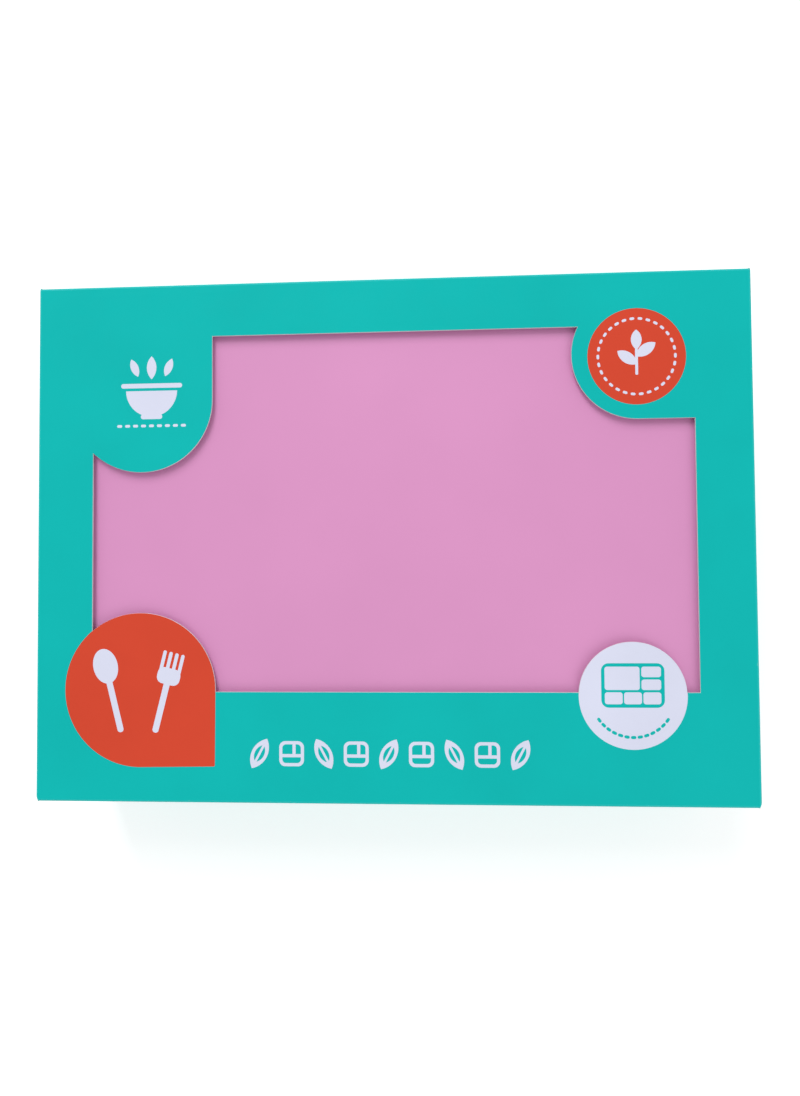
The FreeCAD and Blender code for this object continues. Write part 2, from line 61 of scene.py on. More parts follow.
# the window: its four sides, and the round places (x, y, radius) that reach into it
WINDOW_LEFT, WINDOW_RIGHT, WINDOW_LOW, WINDOW_HIGH = -109.0, 109.6, -55.0, 75.4
CORNER_TAB = (-90.7, 51.9, 26.5)
ROUND_TAB = (89.8, 65.2, 23.3)
DROP = (-91.0, -54.3, 28.0)
BADGE = (86.3, -56.1, 18.9)
# its cut edge: how far it stands back from the outline at depths into the board
PRESSED_EDGE = [(0.16, 0.0), (0.07, 0.05), (0.02, 0.16), (0.0, BOARD)]
# printed places that don't shape the window: a disc, and the drop's pointed corner with its radius
DISC = (89.5, 64.3, 17.3)
DROP_POINT = (-63.2, -81.9, 0.5)

# a latch as cut across its pin: distances out from the pin and up from it
LEAF_IN, LEAF_OUT, LEAF_END = -0.4, 2.6, -14.2
LIP_OUT, LIP_TOP = 4.1, -12.2
HOOK_IN, HOOK_TOP = -2.9, -12.4
BARREL, BARREL_START, BARREL_STEPS = 2.4, 20, 28
BORE, BORE_STEPS = 1.06, 32
LIP_ROUND, HOOK_ROUND, INNER_ROUND = 0.8, 0.6, 0.3
END_ROUND, END_STEPS = 0.5, 4
# three ridges for the finger, which rise over a ramp at each end
GRIP_LEVELS, GRIP_HALF, GRIP_RISE, GRIP_STEPS = (-10.4, -9.0, -7.6), 0.5, 0.35, 6
GRIP_SETBACK, GRIP_RAMP, RAMP_STEPS = 7.0, 2.0, 4
FACINGS = {"right": (1, 0, 0), "rear": (0, 1, 0), "left": (-1, 0, 0), "front": (0, -1, 0)}

# the moulded pieces: rounding of their sharp edges, and the shortest edge that is kept
EDGE_ROUND, LEAST_EDGE = 0.35, 0.03
# faces that count as one, edges that get the rounding, and edges that are shaded as sharp
FLAT_ANGLE, SHARP_ANGLE, SHARP_SHADE = math.radians(0.6), math.radians(32), math.radians(50)
# points closer than this are one: in metres on a mesh, and in millimetres in a flat face
SEAM, SAME_PLACE = 1e-6, 1e-5


def linear(red, green, blue):
    """A colour given as it shows on a screen, 0 to 255, for a shader."""
    def one(value):
        share = value / 255.0
        return share / 12.92 if share <= 0.04045 else ((share + 0.055) / 1.055) ** 2.4
    return (one(red), one(green), one(blue), 1.0)


def shade(colour, factor):
    """A colour made darker or lighter."""
    return tuple(min(1.0, part * factor) for part in colour[:3]) + (1.0,)


class Shading:
    """A material's nodes, with the few kinds that this scene uses."""

    def __init__(self, name):
        self.material = bpy.data.materials.new(name)
        self.material.use_nodes = True
        self.tree = self.material.node_tree
        self.shader = self.tree.nodes["Principled BSDF"]
        self.place = self.node("ShaderNodeTexCoord").outputs["Object"]

    def node(self, kind, **settings):
        made = self.tree.nodes.new(kind)
        for key, value in settings.items():
            setattr(made, key, value)
        return made

    def link(self, source, target):
        self.tree.links.new(source, target)

    def noise(self, per_metre, detail=3.0, roughness=0.55, stretch=None):
        """Grey noise with about so many bumps to the metre."""
        made = self.node("ShaderNodeTexNoise")
        made.inputs["Scale"].default_value = per_metre
        made.inputs["Detail"].default_value = detail
        made.inputs["Roughness"].default_value = roughness
        place = self.place
        if stretch:
            mapping = self.node("ShaderNodeMapping")
            mapping.inputs["Scale"].default_value = stretch
            self.link(place, mapping.inputs["Vector"])
            place = mapping.outputs["Vector"]
        self.link(place, made.inputs["Vector"])
        return made.outputs["Fac"]

    def spread(self, source, low, high, start=0.3, end=0.7):
        """Noise between start and end brought to the range from low to high."""
        made = self.node("ShaderNodeMapRange")
        for key, value in (("From Min", start), ("From Max", end), ("To Min", low), ("To Max", high)):
            made.inputs[key].default_value = value
        self.link(source, made.inputs["Value"])
        return made.outputs["Result"]

    def mix(self, share, first, second):
        """Two colours, or outputs that give colours, mixed by share."""
        made = self.node("ShaderNodeMix", data_type="RGBA")
        for target, value in ((made.inputs[6], first), (made.inputs[7], second)):
            if isinstance(value, tuple):
                target.default_value = value
            else:
                self.link(value, target)
        self.link(share, made.inputs[0])
        return made.outputs[2]

    def bump(self, source, strength, height, after=None):
        """A surface roughened by noise, its height in millimetres."""
        made = self.node("ShaderNodeBump")
        made.inputs["Strength"].default_value = strength
        made.inputs["Distance"].default_value = height * MM
        self.link(source, made.inputs["Height"])
        if after:
            self.link(after, made.inputs["Normal"])
        return made.outputs["Normal"]

    def finish(self, colour, roughness, normal, **sockets):
        """Joins all to the shader; sockets are its other inputs by name, with _ for a space."""
        self.link(colour, self.shader.inputs["Base Color"])
        self.link(roughness, self.shader.inputs["Roughness"])
        self.link(normal, self.shader.inputs["Normal"])
        for key, value in sockets.items():
            self.shader.inputs[key.replace("_", " ")].default_value = value
        return self.material


def printed(name, colour):
    """Ink and varnish on coated board: even, with a faint cloud in the ink and a fine paper tooth."""
    s = Shading(name)
    cloud = s.spread(s.noise(per_metre=24.0, detail=4.0), low=0.0, high=1.0)
    inked = s.mix(cloud, shade(colour, 0.965), shade(colour, 1.03))
    specks = s.spread(s.noise(per_metre=2600.0, detail=2.0), low=0.0, high=0.35, start=0.66, end=0.8)
    inked = s.mix(specks, inked, shade(colour, 1.12))
    rough = s.spread(s.noise(per_metre=190.0, detail=5.0), low=0.52, high=0.66)
    tooth = s.bump(s.noise(per_metre=1500.0, detail=5.0, roughness=0.6), strength=0.10, height=0.04)
    swell = s.bump(s.noise(per_metre=70.0, detail=2.0), strength=0.12, height=0.3, after=tooth)
    return s.finish(inked, rough, swell, Specular_IOR_Level=0.06)


def creased(name, colour, core):
    """Printed board at a fold, where the ink is stretched and breaks along the fibres to show the core."""
    s = Shading(name)
    fibres = s.noise(per_metre=900.0, detail=6.0, roughness=0.7)
    cracks = s.spread(fibres, low=0.0, high=0.5, start=0.62, end=0.80)
    worn = s.mix(cracks, shade(colour, 1.06), core)
    rough = s.spread(s.noise(per_metre=400.0, detail=4.0), low=0.5, high=0.7)
    ridges = s.bump(s.noise(per_metre=1100.0, detail=5.0, roughness=0.65), strength=0.25, height=0.06)
    return s.finish(worn, rough, ridges, Specular_IOR_Level=0.25)


def bare_board(name, colour, fleck, fleck_share):
    """Unprinted board: matt fibres with scattered flecks."""
    s = Shading(name)
    fibres = s.noise(per_metre=700.0, detail=6.0, roughness=0.7, stretch=(1.0, 0.35, 1.0))
    base = s.mix(s.spread(fibres, low=0.0, high=1.0), shade(colour, 0.95), shade(colour, 1.03))
    flecks = s.spread(s.noise(per_metre=1300.0, detail=2.0), low=0.0, high=fleck_share, start=0.67, end=0.76)
    base = s.mix(flecks, base, fleck)
    rough = s.spread(s.noise(per_metre=300.0, detail=4.0), low=0.78, high=0.92)
    tooth = s.bump(s.noise(per_metre=1900.0, detail=6.0, roughness=0.7), strength=0.3, height=0.08)
    return s.finish(base, rough, tooth, Specular_IOR_Level=0.3)


def moulded(name, colour, smoothest, roughest, grain, **sockets):
    """Moulded plastic: slight drift in the colour and a fine eroded grain."""
    s = Shading(name)
    drift = s.spread(s.noise(per_metre=13.0), low=0.0, high=1.0)
    base = s.mix(drift, shade(colour, 0.975), shade(colour, 1.025))
    rough = s.spread(s.noise(per_metre=120.0, detail=5.0, roughness=0.6), low=smoothest, high=roughest)
    fine = s.bump(s.noise(per_metre=2200.0, roughness=0.6), strength=grain, height=0.04)
    streaks = s.noise(per_metre=45.0, detail=2.0, roughness=0.4, stretch=(1.0, 0.4, 1.0))
    flow = s.bump(streaks, strength=0.06, height=0.4, after=fine)
    return s.finish(base, rough, flow, **sockets)


def drawn_steel(name, dark, light):
    """Bright steel with fine drawn lines."""
    s = Shading(name)
    lines = s.noise(per_metre=2500.0, roughness=0.6, stretch=(1.0, 1.0, 0.08))
    base = s.mix(s.spread(lines, low=0.0, high=1.0), dark, light)
    rough = s.spread(s.noise(per_metre=900.0, detail=4.0), low=0.24, high=0.38)
    return s.finish(base, rough, s.bump(lines, strength=0.15, height=0.02), Metallic=1.0)


TEAL_INK, RED_INK, WHITE_INK = linear(15, 190, 185), linear(219, 76, 52), linear(226, 229, 249)
teal_print = printed("teal_print", TEAL_INK)
red_print = printed("red_print", RED_INK)
white_print = printed("white_print", WHITE_INK)
teal_crease = creased("teal_crease", TEAL_INK, linear(238, 240, 238))
inside_board = bare_board("inside_board", linear(226, 225, 220), linear(178, 172, 160), fleck_share=0.5)
cut_board = bare_board("cut_board", linear(224, 226, 224), linear(204, 202, 196), fleck_share=0.3)
pink_plastic = moulded("pink_plastic", linear(225, 153, 202), smoothest=0.42, roughest=0.54, grain=0.10,
                       Specular_IOR_Level=0.2)
tray_plastic = moulded("tray_plastic", linear(236, 232, 230), smoothest=0.30, roughest=0.40, grain=0.06,
                       Subsurface_Weight=0.12, Subsurface_Scale=0.003)
latch_plastic = moulded("latch_plastic", linear(238, 236, 238), smoothest=0.30, roughest=0.40, grain=0.08)
gasket_rubber = moulded("gasket_rubber", linear(228, 228, 226), smoothest=0.48, roughest=0.6, grain=0.05,
                        Subsurface_Weight=0.25, Subsurface_Scale=0.002)
pin_steel = drawn_steel("pin_steel", linear(176, 176, 178), linear(206, 206, 208))

BOARD_MATERIALS = [teal_print, teal_crease, inside_board, cut_board, red_print, white_print]
TEAL, CREASE, INSIDE, CUT, RED, WHITE = range(len(BOARD_MATERIALS))


def arc(x, y, radius, start, end, steps):
    """Points on an arc, its angles in degrees."""
    turns = [math.radians(start + (end - start) * i / steps) for i in range(steps + 1)]
    return [(x + radius * math.cos(a), y + radius * math.sin(a)) for a in turns]


def ring(x, y, radius, steps=96):
    """Points on a full circle."""
    return arc(x, y, radius, 0, 360, steps)[:-1]


def moved(points, x, y):
    return [(x + u, y + v) for u, v in points]


def turned(points, x, y, degrees):
    """Points turned about the origin and then moved."""
    c, s = math.cos(math.radians(degrees)), math.sin(math.radians(degrees))
    return [(x + c * u - s * v, y + s * u + c * v) for u, v in points]


def round_bar(width, height, corner, steps=6):
    """A rectangle about the origin with rounded corners."""
    u, v = width / 2 - corner, height / 2 - corner
    points = []
    for x, y, start in ((u, v, 0), (-u, v, 90), (-u, -v, 180), (u, -v, 270)):
        points += arc(x, y, corner, start, start + 90, steps)
    return points


def leaf(length, width, steps=14):
    """A pointed leaf about the origin, along the first axis."""
    half, rise = length / 2, width / 2
    radius = (half * half + rise * rise) / (2 * rise)
    sweep = math.degrees(math.asin(half / radius))
    upper = arc(0, rise - radius, radius, 90 - sweep, 90 + sweep, steps)
    lower = arc(0, radius - rise, radius, 270 - sweep, 270 + sweep, steps)
    return upper + lower[1:-1]


def dashes(x, y, radius, start, end, count, length, width):
    """Short bars set round an arc, with nearly round ends."""
    made = []
    for i in range(count):
        at = start + (end - start) * i / (count - 1)
        px, py = arc(x, y, radius, at, at, 1)[0]
        made.append(turned(round_bar(length, width, corner=width * 0.48, steps=3), px, py, at + 90))
    return made


def rounded(corners, steps=4):
    """An outline from corners given as x, y and radius."""
    points = []
    for i, (x, y, radius) in enumerate(corners):
        if radius == 0.0:
            points.append((x, y))
            continue
        at = Vector((x, y))
        back = (Vector(corners[i - 1][:2]) - at).normalized()
        ahead = (Vector(corners[(i + 1) % len(corners)][:2]) - at).normalized()
        half = back.angle(ahead) / 2
        middle = at + (back + ahead).normalized() * radius / math.sin(half)
        first, last = (at + way * radius / math.tan(half) - middle for way in (back, ahead))
        start = math.degrees(math.atan2(first.y, first.x))
        turn = (math.degrees(math.atan2(last.y, last.x)) - start + 180) % 360 - 180
        points += arc(middle.x, middle.y, radius, start, start + turn, steps)
    return points


def inside(point, polygon):
    """Whether a point lies in a polygon."""
    x, y = point
    found = False
    for (x0, y0), (x1, y1) in zip(polygon, polygon[1:] + polygon[:1]):
        if (y0 > y) != (y1 > y) and x < x0 + (x1 - x0) * (y - y0) / (y1 - y0):
            found = not found
    return found


def window_loop(into):
    """The window's outline, moved into the board by a distance, always with the same number of points."""
    left, right = WINDOW_LEFT - into, WINDOW_RIGHT + into
    low, high = WINDOW_LOW - into, WINDOW_HIGH + into

    def meets(centre, level, along_x):
        """Half the chord that a line cuts from a round place."""
        x, y, radius = centre
        off = level - (y if along_x else x)
        return math.sqrt((radius - into) ** 2 - off * off)

    def angle(centre, x, y):
        return math.degrees(math.atan2(y - centre[1], x - centre[0]))

    def bow(centre, start, end, steps):
        return arc(centre[0], centre[1], centre[2] - into, start, end, steps)

    corner_right = CORNER_TAB[0] + CORNER_TAB[2] - into
    round_low = ROUND_TAB[1] - ROUND_TAB[2] + into
    round_start = angle(ROUND_TAB, ROUND_TAB[0] - meets(ROUND_TAB, high, True), high)
    badge_angle = angle(BADGE, BADGE[0] + meets(BADGE, low, True), low)
    drop_start = angle(DROP, DROP[0] + meets(DROP, low, True), low)
    drop_end = angle(DROP, left, DROP[1] + meets(DROP, left, False))
    corner_start = angle(CORNER_TAB, left, CORNER_TAB[1] - meets(CORNER_TAB, left, False)) % 360
    points = [(corner_right, high)]
    points += bow(ROUND_TAB, round_start, 270, steps=40)
    points += [(right, round_low), (right, low)]
    points += bow(BADGE, badge_angle, 180 - badge_angle, steps=60)
    points += bow(DROP, drop_start, drop_end, steps=60)
    points += bow(CORNER_TAB, corner_start, 360, steps=50)
    return points


def drop_place():
    """A round place with one square corner."""
    x, y, radius = DROP
    point_x, point_y, corner = DROP_POINT
    point = arc(point_x - corner, point_y + corner, corner, 270, 360, steps=6)
    return arc(x, y, radius, 0, 270, steps=120) + point


def bowl_sign():
    """A bowl with three leaves over it, above a row of short bars."""
    x, y, radius = -87.0, 55.6, 9.6
    rim_rise, leaf_rise, leaf_slimness = 1.9, 8.6, 0.42
    bars, bar_pitch, bar_y = 9, 3.0, 42.6
    outlines = [arc(x, y, radius, 180, 360, steps=40),
                moved(round_bar(width=8.0, height=1.8, corner=0.8), x, y - radius),
                moved(round_bar(width=23.0, height=1.7, corner=0.84), x, y + rim_rise)]
    for shift, tilt, length in ((-6.4, 112, 7.0), (0.0, 90, 8.6), (6.4, 68, 7.0)):
        outlines.append(turned(leaf(length, length * leaf_slimness), x + shift, y + leaf_rise, tilt))
    bar = round_bar(width=1.9, height=1.0, corner=0.46, steps=3)
    outlines += [moved(bar, x + (i - bars // 2) * bar_pitch, bar_y) for i in range(bars)]
    return [(outline, WHITE) for outline in outlines]


def sprig_sign():
    """A sprig of three leaves in a ring of dashes."""
    x, y, _ = DISC
    stem_drop, leaf_reach, top_rise = 1.2, 4.0, 6.0
    outlines = dashes(x, y, radius=13.6, start=0, end=348, count=30, length=1.7, width=0.95)
    outlines.append(moved(round_bar(width=1.0, height=11.0, corner=0.45), x, y - stem_drop))
    for rise, tilt in ((-0.4, 145), (2.4, 35)):
        toward = leaf_reach * math.cos(math.radians(tilt))
        outlines.append(turned(leaf(length=8.4, width=4.0), x + toward, y + rise, tilt))
    outlines.append(turned(leaf(length=7.2, width=3.8), x, y + top_rise, 90))
    return [(outline, WHITE) for outline in outlines]


def cutlery_sign():
    """A spoon and a fork that lean apart."""
    lean, spoon_place, fork_place = 14, (-100.5, -59.5), (-83.0, -60.1)
    oval_half_x, oval_half_y, oval_rise = 4.6, 6.4, 14.2
    tines, tine_pitch, tine_rise, head_rise = 4, 2.27, 15.2, 11.0
    oval = [(u * oval_half_x, v * oval_half_y + oval_rise) for u, v in ring(0, 0, 1.0, steps=48)]
    spoon = [round_bar(width=2.3, height=21.0, corner=1.1), oval]
    fork = [round_bar(width=2.3, height=20.0, corner=1.1),
            moved(round_bar(width=8.6, height=6.0, corner=2.4), 0.0, head_rise)]
    tine = round_bar(width=1.3, height=9.4, corner=0.62, steps=4)
    fork += [moved(tine, (i - (tines - 1) / 2) * tine_pitch, tine_rise) for i in range(tines)]
    outlines = [turned(points, *spoon_place, lean) for points in spoon]
    outlines += [turned(points, *fork_place, -lean) for points in fork]
    return [(outline, WHITE) for outline in outlines]


def tray_sign():
    """A tray with six cells, over an arc of dashes."""
    x, y, _ = BADGE
    tray_y = y + 3.6
    # each cell's middle, width and height
    cells = ((-3.7, 2.5, 12.2, 8.2), (6.4, 4.75, 6.8, 3.7), (6.4, 0.25, 6.8, 3.7),
             (-6.7, -4.5, 6.2, 4.2), (0.0, -4.5, 6.2, 4.2), (6.7, -4.5, 6.2, 4.2))
    signs = [(moved(round_bar(width=22.0, height=15.6, corner=2.6), x, tray_y), TEAL)]
    for shift, rise, width, height in cells:
        signs.append((moved(round_bar(width, height, corner=0.9), x + shift, tray_y + rise), WHITE))
    bars = dashes(x, y, radius=14.6, start=216, end=324, count=13, length=1.9, width=1.1)
    return signs + [(bar, TEAL) for bar in bars]


def row_sign():
    """A row of leaves and divided boxes in thin line."""
    row_y, pitch, count, line = -77.1, 11.7, 9, 1.15
    leaf_length, leaf_width, leaf_tilts = 12.0, 5.8, (62, 118)
    # a line round a leaf takes more of its length at the pointed tips
    tips = 4.4 * line
    vein_length, vein_width, vein_corner = 7.0, 0.75 * line, 0.36 * line
    box, box_corner, hollow_corner, bar_corner = 9.0, 2.2, 1.3, 0.2
    across_drop, upright_length, upright_shift, upright_rise = 0.7, 4.4, 0.9, 2.0
    signs = []
    for i in range(count):
        x = (i - count // 2) * pitch
        if i % 2 == 0:
            tilt = leaf_tilts[i // 2 % 2]
            hollow = leaf(leaf_length - tips, leaf_width - 2 * line)
            vein = round_bar(vein_length, vein_width, vein_corner, steps=3)
            signs += [(turned(leaf(leaf_length, leaf_width), x, row_y, tilt), WHITE),
                      (turned(hollow, x, row_y, tilt), TEAL), (turned(vein, x, row_y, tilt), WHITE)]
        else:
            hollow = round_bar(box - 2 * line, box - 2 * line, hollow_corner)
            across = round_bar(box - line, line, bar_corner, steps=2)
            upright = round_bar(line, upright_length, bar_corner, steps=2)
            signs += [(moved(round_bar(box, box, box_corner), x, row_y), WHITE),
                      (moved(hollow, x, row_y), TEAL), (moved(across, x, row_y - across_drop), WHITE),
                      (moved(upright, x + upright_shift, row_y + upright_rise), WHITE)]
    return signs


def motifs():
    """The panel's print, as outlines with the ink that fills them: three places, then plain kitchen signs."""
    places = [(ring(*DISC), RED), (drop_place(), RED), (ring(*BADGE), WHITE)]
    return places + bowl_sign() + sprig_sign() + cutlery_sign() + tray_sign() + row_sign()


def flat_face(bm, loops, z, ink_of, upward):
    """A flat face with the loops' lines in it; ink_of gives a triangle's material, or None for a hole."""
    points, edges = [], []
    for loop in loops:
        first = len(points)
        points += [Vector(p) for p in loop]
        edges += [(first + i, first + (i + 1) % len(loop)) for i in range(len(loop))]
    places, _, faces, *_ = delaunay_2d_cdt(points, edges, [], 0, SAME_PLACE)
    made = [bm.verts.new((p.x * MM, p.y * MM, z * MM)) for p in places]
    for face in faces:
        corners = [places[i] for i in face]
        ink = ink_of((sum(c.x for c in corners) / len(face), sum(c.y for c in corners) / len(face)))
        if ink is None:
            continue
        order = face if upward else face[::-1]
        bm.faces.new([made[i] for i in order]).material_index = ink


def bent_board(bm, outer, inner, stations, at, inks, joined=(), last_joined=(), open_cap=()):
    """Board along a path: its outer and inner points, drawn out through the stations.
    joined and last_joined list the spans between stations where the path's first or last edge meets
    other board, and open_cap the steps of the path where its two ends do."""
    out = [[bm.verts.new(at(u, v, s)) for u, v in outer] for s in stations]
    back = [[bm.verts.new(at(u, v, s)) for u, v in inner] for s in stations]

    def face(corners, ink):
        bm.faces.new(corners).material_index = ink

    steps, spans = len(outer) - 1, len(stations) - 1
    for k in range(spans):
        for i in range(steps):
            face((out[k][i], out[k][i + 1], out[k + 1][i + 1], out[k + 1][i]), inks[i])
            face((back[k][i], back[k + 1][i], back[k + 1][i + 1], back[k][i + 1]), INSIDE)
        if k not in joined:
            face((out[k][0], out[k + 1][0], back[k + 1][0], back[k][0]), CUT)
        if k not in last_joined:
            face((out[k][steps], back[k][steps], back[k + 1][steps], out[k + 1][steps]), CUT)
    for k in (0, spans):
        for i in range(steps):
            if i not in open_cap:
                face((out[k][i], back[k][i], back[k][i + 1], out[k][i + 1]), CUT)


def close_seams(bm):
    """Joins the board along its folds, also where one side of a seam has points that the other lacks."""
    bmesh.ops.remove_doubles(bm, verts=bm.verts, dist=SEAM)
    rims = [edge for edge in bm.edges if edge.is_boundary]
    points = {vert.co.copy().freeze() for edge in rims for vert in edge.verts}
    for edge in rims:
        head = edge.verts[0]
        start, along = head.co.copy(), edge.verts[1].co - head.co
        shares = []
        for point in points:
            share = (point - start).dot(along) / along.length_squared
            off = (point - start - along * share).length
            if off < SEAM < min(share, 1.0 - share) * along.length:
                shares.append(share)
        reached = 0.0
        for share in sorted(shares):
            _, head = bmesh.utils.edge_split(edge, head, (share - reached) / (1.0 - reached))
            reached = share
    bmesh.ops.remove_doubles(bm, verts=bm.verts, dist=SEAM)


def new_object(bm, name, materials=()):
    """An object in the scene from a finished mesh."""
    mesh = bpy.data.meshes.new(name)
    bm.to_mesh(mesh)
    bm.free()
    for material in materials:
        mesh.materials.append(material)
    made = bpy.data.objects.new(name, mesh)
    scene.collection.objects.link(made)
    return made


def folded_tray(name, size_x, size_y, face_z, down, wall_end, corners, print_panel):
    """One sheet of board folded into a shallow tray: a panel, four walls and glue tabs inside the side walls.
    down is the way the walls go from the panel and wall_end how far they reach.
    corners gives the radius of the upright folds at the front and the rear."""
    half_x, half_y = size_x / 2, size_y / 2
    flat_x, flat_y = half_x - BEND, half_y - BEND
    corner_of = dict(zip((-1, 1), corners))
    ends = {sign: half_x - BOARD - GLUE - corner for sign, corner in corner_of.items()}
    bm = bmesh.new()

    def height(depth):
        return (face_z + down * depth) * MM

    print_panel(bm, flat_x, flat_y, ends, height)

    def wall_path(half):
        """A wall's outer and inner line, from the fold at the panel to its free edge."""
        paths = []
        for radius in (BEND, BEND - BOARD):
            turn = arc(half - BEND, BEND, radius, -90, 0, BEND_STEPS)
            paths.append(turn + [(turn[-1][0], wall_end)])
        return paths

    def tucked(y):
        """How far a side wall gives way round the upright fold that it covers."""
        corner = corner_of[1 if y > 0 else -1]
        past = abs(y) - (half_y - corner)
        return 0.0 if past <= 0 else corner + BOARD - math.sqrt((corner + BOARD) ** 2 - past ** 2)

    inks = [CREASE] * BEND_STEPS + [TEAL]
    stations = {-flat_y, flat_y}
    for sign, corner in corner_of.items():
        stations |= {sign * (half_y - corner * i / CORNER_STEPS) for i in range(CORNER_STEPS + 1)}
    stations = sorted(stations)
    joined = [k for k, y in enumerate(stations[:-1]) if -flat_y <= y < flat_y]
    for sign in (-1, 1):
        outer, inner = wall_path(half_x)

        def side(u, v, s, sign=sign):
            share = max(0.0, (u - flat_x) / BEND) if v <= BEND else 1.0
            return (sign * (u - tucked(s) * share) * MM, s * MM, height(v))

        bent_board(bm, outer, inner, stations, side, inks, joined=joined)
        outer, inner = wall_path(half_y)
        reach = ends[sign]

        def end(u, v, s, sign=sign):
            return (s * MM, sign * u * MM, height(v))

        bent_board(bm, outer[:BEND_STEPS + 1], inner[:BEND_STEPS + 1], (-flat_x, -reach, reach, flat_x), end,
                   inks[:BEND_STEPS], joined=(0, 1, 2), last_joined=(1,))
        bent_board(bm, outer[BEND_STEPS:], inner[BEND_STEPS:], (-reach, reach), end, inks[BEND_STEPS:],
                   joined=(0,), open_cap=(0,))

    free_y = half_y - BOARD - TAB_LENGTH
    for x in (-1, 1):
        for y, corner in corner_of.items():
            paths = []
            for radius in (corner, corner - BOARD):
                turn = arc(ends[y], half_y - corner, radius, 90, 0, BEND_STEPS)
                paths.append(turn + [(turn[-1][0], free_y)])

            def tab(u, v, s, x=x, y=y):
                taper = TAB_TAPER if v == free_y else 0.0
                return (x * u * MM, y * v * MM, height(BEND + taper if s == 0 else wall_end - taper))

            bent_board(bm, *paths, (0, 1), tab, inks, joined=(0,))

    close_seams(bm)
    bmesh.ops.recalc_face_normals(bm, faces=bm.faces)
    return new_object(bm, name, BOARD_MATERIALS)


def panel_outline(flat_x, flat_y, ends):
    """A panel's flat part, with points where the walls' folds begin and end."""
    front, rear = ends[-1], ends[1]
    return [(-flat_x, -flat_y), (-front, -flat_y), (front, -flat_y), (flat_x, -flat_y),
            (flat_x, flat_y), (rear, flat_y), (-rear, flat_y), (-flat_x, flat_y)]


def plain_panel(bm, flat_x, flat_y, ends, height):
    """The bottom panel: plain print below, bare board on top."""
    outline = panel_outline(flat_x, flat_y, ends)
    flat_face(bm, [outline], height(0) / MM, lambda p: TEAL, upward=False)
    flat_face(bm, [outline], height(BOARD) / MM, lambda p: INSIDE, upward=True)


def window_panel(bm, flat_x, flat_y, ends, height):
    """The front panel: print on top, the window with its pressed white edge, bare board below."""
    outline = panel_outline(flat_x, flat_y, ends)
    signs = motifs()
    spans = [(min(u for u, _ in p), max(u for u, _ in p), min(v for _, v in p), max(v for _, v in p))
             for p, _ in signs]
    set_back = PRESSED_EDGE[0][0]
    top_loop, low_loop = window_loop(set_back), window_loop(0.0)

    def top_ink(point):
        if inside(point, top_loop):
            return None
        x, y = point
        ink = TEAL
        for (polygon, fill), (x0, x1, y0, y1) in zip(signs, spans):
            if x0 <= x <= x1 and y0 <= y <= y1 and inside(point, polygon):
                ink = fill
        return ink

    def low_ink(point):
        return None if inside(point, low_loop) else INSIDE

    lines = [outline, top_loop] + [polygon for polygon, _ in signs]
    flat_face(bm, lines, height(0) / MM, top_ink, upward=True)
    flat_face(bm, [outline, low_loop], height(BOARD) / MM, low_ink, upward=False)
    rows = [[bm.verts.new((x * MM, y * MM, height(depth))) for x, y in window_loop(into)]
            for into, depth in PRESSED_EDGE]
    beside = window_loop(2 * set_back)
    for band, (upper, lower) in enumerate(zip(rows, rows[1:])):
        for i in range(len(upper)):
            j = (i + 1) % len(upper)
            middle = [(a + b) / 2 for a, b in zip(beside[i], beside[j])]
            face = bm.faces.new((upper[i], upper[j], lower[j], lower[i]))
            face.material_index = top_ink(middle) if band == 0 else CUT


def shaded(bm, name):
    """An object from a finished mesh, smooth over its roundings and sharp at what is left of its edges."""
    for face in bm.faces:
        face.smooth = True
    for edge in bm.edges:
        edge.smooth = edge.calc_face_angle() < SHARP_SHADE
    made = new_object(bm, name)
    made.modifiers.new("even_shading", "WEIGHTED_NORMAL").keep_sharp = True
    return made


def softened(node):
    """A CAD node's shape with its sharp edges broken by a small moulded rounding."""
    bm = bmesh.new()
    bm.from_mesh(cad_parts[node].data)
    bmesh.ops.remove_doubles(bm, verts=bm.verts, dist=LEAST_EDGE * MM)
    bmesh.ops.dissolve_limit(bm, angle_limit=FLAT_ANGLE, verts=bm.verts, edges=bm.edges, delimit=set())

    def roomy(edge):
        """Whether every edge that meets this one is longer than the rounding is wide."""
        return min(e.calc_length() for v in edge.verts for e in v.link_edges) > EDGE_ROUND * MM

    sharp = [e for e in bm.edges if len(e.link_faces) == 2 and e.calc_face_angle() > SHARP_ANGLE and roomy(e)]
    bmesh.ops.bevel(bm, geom=sharp, offset=EDGE_ROUND * MM, offset_type="OFFSET", segments=2, profile=0.6,
                    affect="EDGES", clamp_overlap=False)
    bmesh.ops.dissolve_degenerate(bm, dist=SEAM, edges=bm.edges)
    bmesh.ops.triangulate(bm, faces=[f for f in bm.faces if len(f.verts) > 4])
    return shaded(bm, node + "_moulded")


